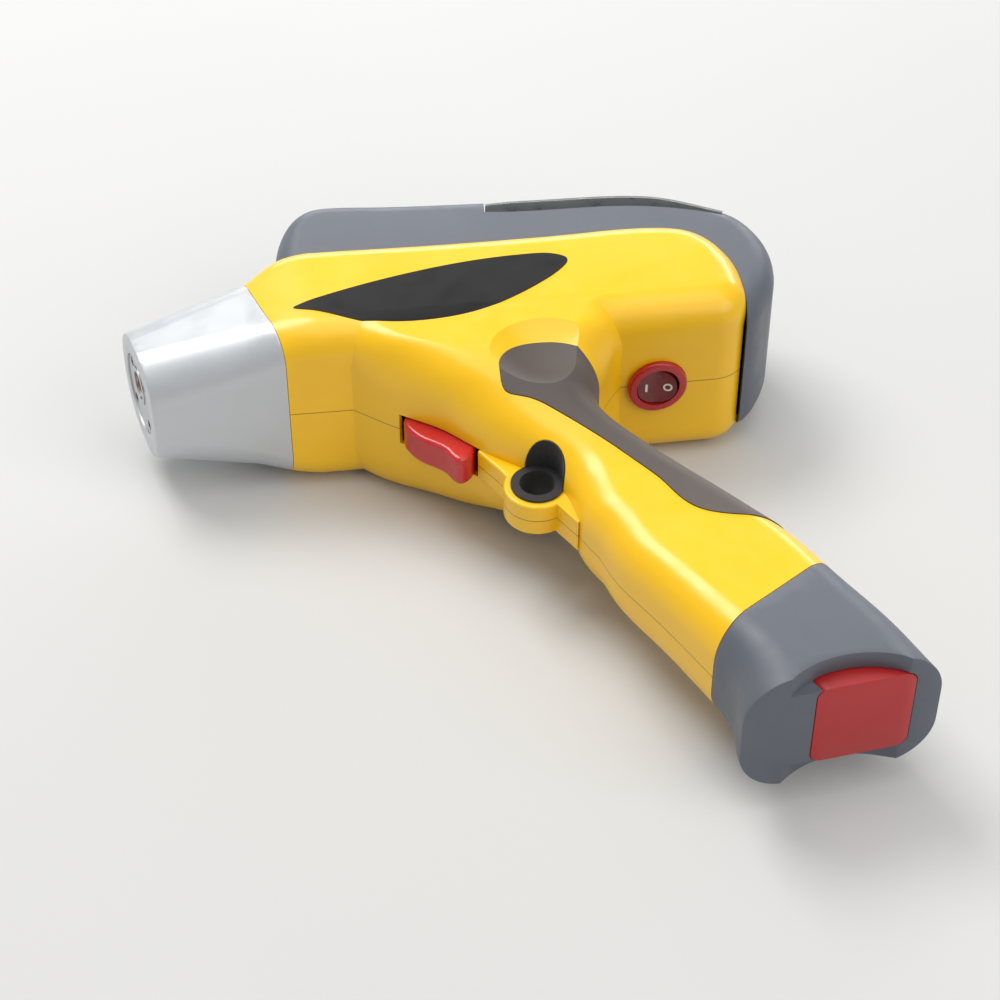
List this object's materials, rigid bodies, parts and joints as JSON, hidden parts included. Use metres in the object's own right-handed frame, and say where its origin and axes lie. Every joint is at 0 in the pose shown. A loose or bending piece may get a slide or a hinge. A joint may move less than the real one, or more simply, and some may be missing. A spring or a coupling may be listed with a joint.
{
  "type": "handheld xrf analyzer",
  "caption": "Pistol-shaped X-ray fluorescence analyzer with trigger, tapered measuring nose, rear display, rubber grip and slide-out battery, lying on its side.",
  "frame": {"origin": "centre of the bounding box's bottom, with the instrument lying on its right flank", "axes": "+Z out of the left flank (up as it lies), -X towards the nose along the barrel, +Y towards the display side, the grip and foot towards -Y"},
  "size_m": [0.2612, 0.2686, 0.0723],
  "materials": {
    "yellow_plastic": "semi-gloss moulded",
    "grip_rubber": "matt soft-touch",
    "black_inlay": "satin",
    "red_plastic": "gloss moulded",
    "dark_red_plastic": "gloss moulded",
    "battery_red": "satin moulded",
    "mark_white": "printed",
    "steel": "ground",
    "screw_black": "black oxide",
    "tube_steel": "turned",
    "switch_black": "moulded",
    "board_green": "solder mask",
    "chip_black": "moulded",
    "grey_plastic": "fine texture",
    "bezel_black": "satin",
    "glass_black": "polished",
    "silver_plastic": "satin metallic paint",
    "plate_aluminium": "anodised",
    "film_amber": "polymer film",
    "head_brass": "machined",
    "wheel_aluminium": "machined",
    "black_rubber": "matt",
    "battery_black": "moulded",
    "contact_brass": "plated",
    "chassis_aluminium": "milled",
    "hv_steel": "tinned can",
    "cable_red": "jacket",
    "ribbon_amber": "film",
    "key_grey": "matt"
  },
  "bodies": {
    "frame": {"left_shell": "yellow_plastic", "right_shell": "yellow_plastic", "grip_backstrap": "grip_rubber", "left_badge": "black_inlay", "right_badge": "black_inlay", "power_switch_body": "red_plastic", "trigger_pin": "steel", "shell_screws": "screw_black", "trigger_spring": "steel", "trigger_switch": "switch_black", "top_cover": "grey_plastic", "display_bezel": "bezel_black", "display_glass": "glass_black", "keypad_board": "board_green", "display_module": "chip_black", "nose_cone": "silver_plastic", "nose_face_plate": "plate_aluminium", "nose_screws": "steel", "window_ring": "plate_aluminium", "window_film": "film_amber", "measurement_head": "head_brass", "xray_tube": "tube_steel", "detector": "tube_steel", "filter_motor": "tube_steel", "camera_module": "switch_black", "strap_grommet": "black_rubber", "base_foot": "grey_plastic", "battery_sleeve": "switch_black", "battery_contacts": "contact_brass", "chassis": "chassis_aluminium", "tube_cable": "cable_red", "battery_cable": "cable_red", "display_cable": "ribbon_amber", "face_gasket": "black_rubber", "hv_supply": "hv_steel", "main_board": "board_green", "board_parts": "chip_black", "pulse_processor_board": "board_green", "cooling_block": "chassis_aluminium", "shield_block": "head_brass", "buzzer": "switch_black"},
    "trigger": {"trigger": "red_plastic"},
    "rocker": {"power_rocker": "dark_red_plastic", "rocker_marks": "mark_white"},
    "key_left": {"key_left": "key_grey"},
    "key_ok": {"key_ok": "key_grey"},
    "key_right": {"key_right": "key_grey"},
    "filter_wheel": {"filter_wheel": "wheel_aluminium", "filter_wheel_shaft": "steel"},
    "battery": {"battery_pack": "battery_black", "battery_end_cap": "battery_red"}
  },
  "joints": [
    {"name": "trigger_pull", "type": "hinge", "parent": "frame", "child": "trigger", "pos_m": [-0.02309, 0.02978, 0.03603], "axis": [0, 0, 1], "range_deg": [0, 8], "stiffness_Nm_per_rad": 0.3, "springref_deg": -8.59},
    {"name": "power_rocker_tilt", "type": "hinge", "parent": "frame", "child": "rocker", "pos_m": [0.06674, 0.04525, 0.03603], "axis": [0, 0, 1], "range_deg": [0, 14]},
    {"name": "filter_wheel_spin", "type": "hinge", "parent": "frame", "child": "filter_wheel", "pos_m": [-0.11773, 0.05651, 0.03252], "axis": [0.9659, 0.2588, 0], "continuous": true},
    {"name": "battery_slide", "type": "slide", "parent": "frame", "child": "battery", "axis": [0.475, -0.88, 0], "range_m": [0, 0.126]},
    {"name": "key_left_press", "type": "slide", "parent": "frame", "child": "key_left", "axis": [-0.4081, -0.9129, 0], "range_m": [0, 0.0006], "stiffness_N_per_m": 400, "springref_m": -0.0006},
    {"name": "key_ok_press", "type": "slide", "parent": "frame", "child": "key_ok", "axis": [-0.4081, -0.9129, 0], "range_m": [0, 0.0006], "stiffness_N_per_m": 400, "springref_m": -0.0006},
    {"name": "key_right_press", "type": "slide", "parent": "frame", "child": "key_right", "axis": [-0.4081, -0.9129, 0], "range_m": [0, 0.0006], "stiffness_N_per_m": 400, "springref_m": -0.0006}
  ]
}
